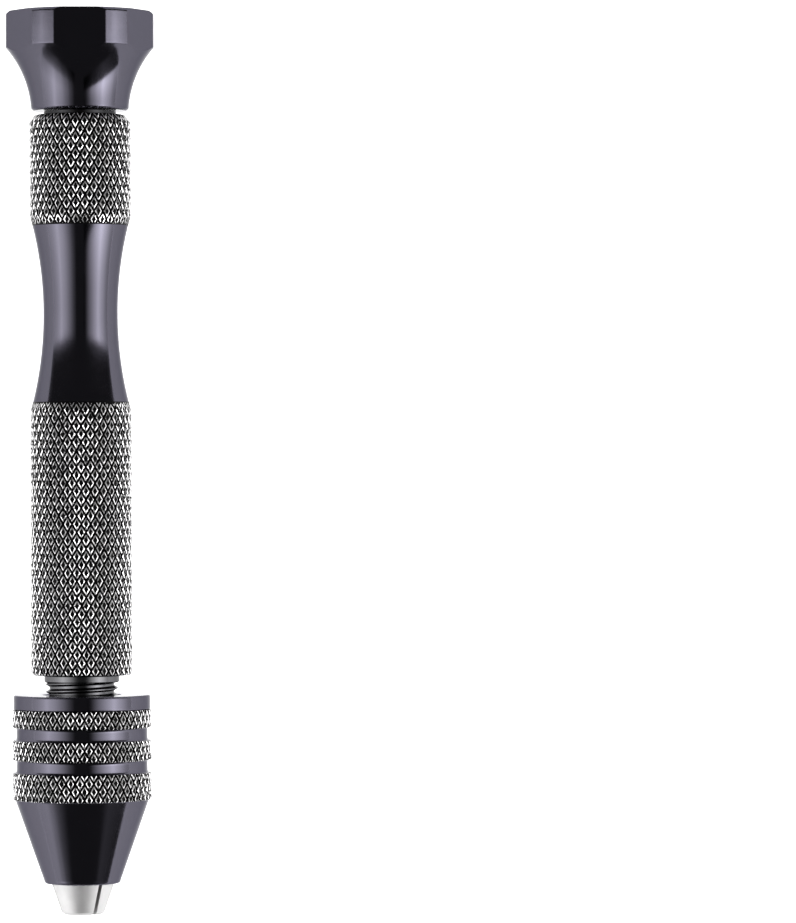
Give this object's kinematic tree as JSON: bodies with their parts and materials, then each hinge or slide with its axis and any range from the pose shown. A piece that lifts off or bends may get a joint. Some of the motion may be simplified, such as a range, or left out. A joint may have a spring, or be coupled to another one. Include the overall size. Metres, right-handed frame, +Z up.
{
  "type": "pin vise drill",
  "caption": "Slim hand drill with a free-turning palm head, a waisted knurled handle and a keyless chuck whose sleeve closes three jaws on a small twist bit.",
  "frame": {"origin": "on the bench under the middle of the tool, which lies on one flat of its head and on its chuck", "axes": "+Y along the tool from the jaws to the head, +Z up from the bench, +X across the tool"},
  "size_m": [0.0202, 0.1226, 0.0189],
  "materials": {
    "black_anodised": "black anodised, satin",
    "black_steel": "black oxide, lightly oiled",
    "jaw_steel": "ground, satin",
    "bearing_steel": "polished",
    "pressed_steel": "pressed sheet, satin",
    "spring_steel": "drawn wire, bright"
  },
  "bodies": {
    "handle": {"handle_body": "black_anodised", "threaded_spindle": "black_steel", "bearing_spacer": "black_steel", "bearing_inner_ring": "bearing_steel", "screw_washer": "pressed_steel", "swivel_screw": "black_steel"},
    "head": {"swivel_head": "black_anodised", "head_cover": "black_anodised", "bearing_outer_ring": "bearing_steel", "bearing_shield_rear": "pressed_steel", "bearing_shield_front": "pressed_steel"},
    "ball_set": {"bearing_balls": "bearing_steel", "bearing_cage": "pressed_steel"},
    "jaw_carrier": {"thrust_washer": "pressed_steel", "jaw_spring_1": "spring_steel", "jaw_spring_2": "spring_steel", "jaw_spring_3": "spring_steel"},
    "sleeve": {"chuck_shell": "black_anodised", "chuck_end_ring": "black_anodised"},
    "jaw_1": {"jaw_1": "jaw_steel"},
    "jaw_2": {"jaw_2": "jaw_steel"},
    "jaw_3": {"jaw_3": "jaw_steel"}
  },
  "joints": [
    {"name": "head_swivel", "type": "hinge", "parent": "handle", "child": "head", "pos_m": [0, 0, 0.00945], "axis": [0, -1, 0], "continuous": true},
    {"name": "ball_orbit", "type": "hinge", "parent": "handle", "child": "ball_set", "pos_m": [0, 0, 0.00945], "axis": [0, -1, 0], "continuous": true},
    {"name": "sleeve_turn", "type": "hinge", "parent": "handle", "child": "jaw_carrier", "pos_m": [0, 0, 0.00945], "axis": [0, -1, 0], "range_deg": [-302, 1365]},
    {"name": "sleeve_travel", "type": "slide", "parent": "jaw_carrier", "child": "sleeve", "axis": [0, -1, 0], "range_m": [-0.00084, 0.0038]},
    {"name": "jaw_1_slide", "type": "slide", "parent": "jaw_carrier", "child": "jaw_1", "axis": [-0.4067, 0, 0.9135], "range_m": [-0.00029, 0.0013], "deforming": ["jaw_spring_1"]},
    {"name": "jaw_2_slide", "type": "slide", "parent": "jaw_carrier", "child": "jaw_2", "axis": [-0.5878, 0, -0.809], "range_m": [-0.00029, 0.0013], "deforming": ["jaw_spring_2"]},
    {"name": "jaw_3_slide", "type": "slide", "parent": "jaw_carrier", "child": "jaw_3", "axis": [0.9945, 0, -0.1045], "range_m": [-0.00029, 0.0013], "deforming": ["jaw_spring_3"]}
  ],
  "couplings": [
    {"joint": "ball_orbit", "follows": "head_swivel", "ratio": 0.6215},
    {"joint": "sleeve_travel", "follows": "sleeve_turn", "m_per_rad": 0.00015915},
    {"joint": "jaw_1_slide", "follows": "sleeve_turn", "m_per_rad": 0.000054491},
    {"joint": "jaw_2_slide", "follows": "sleeve_turn", "m_per_rad": 0.000054491},
    {"joint": "jaw_3_slide", "follows": "sleeve_turn", "m_per_rad": 0.000054491}
  ]
}
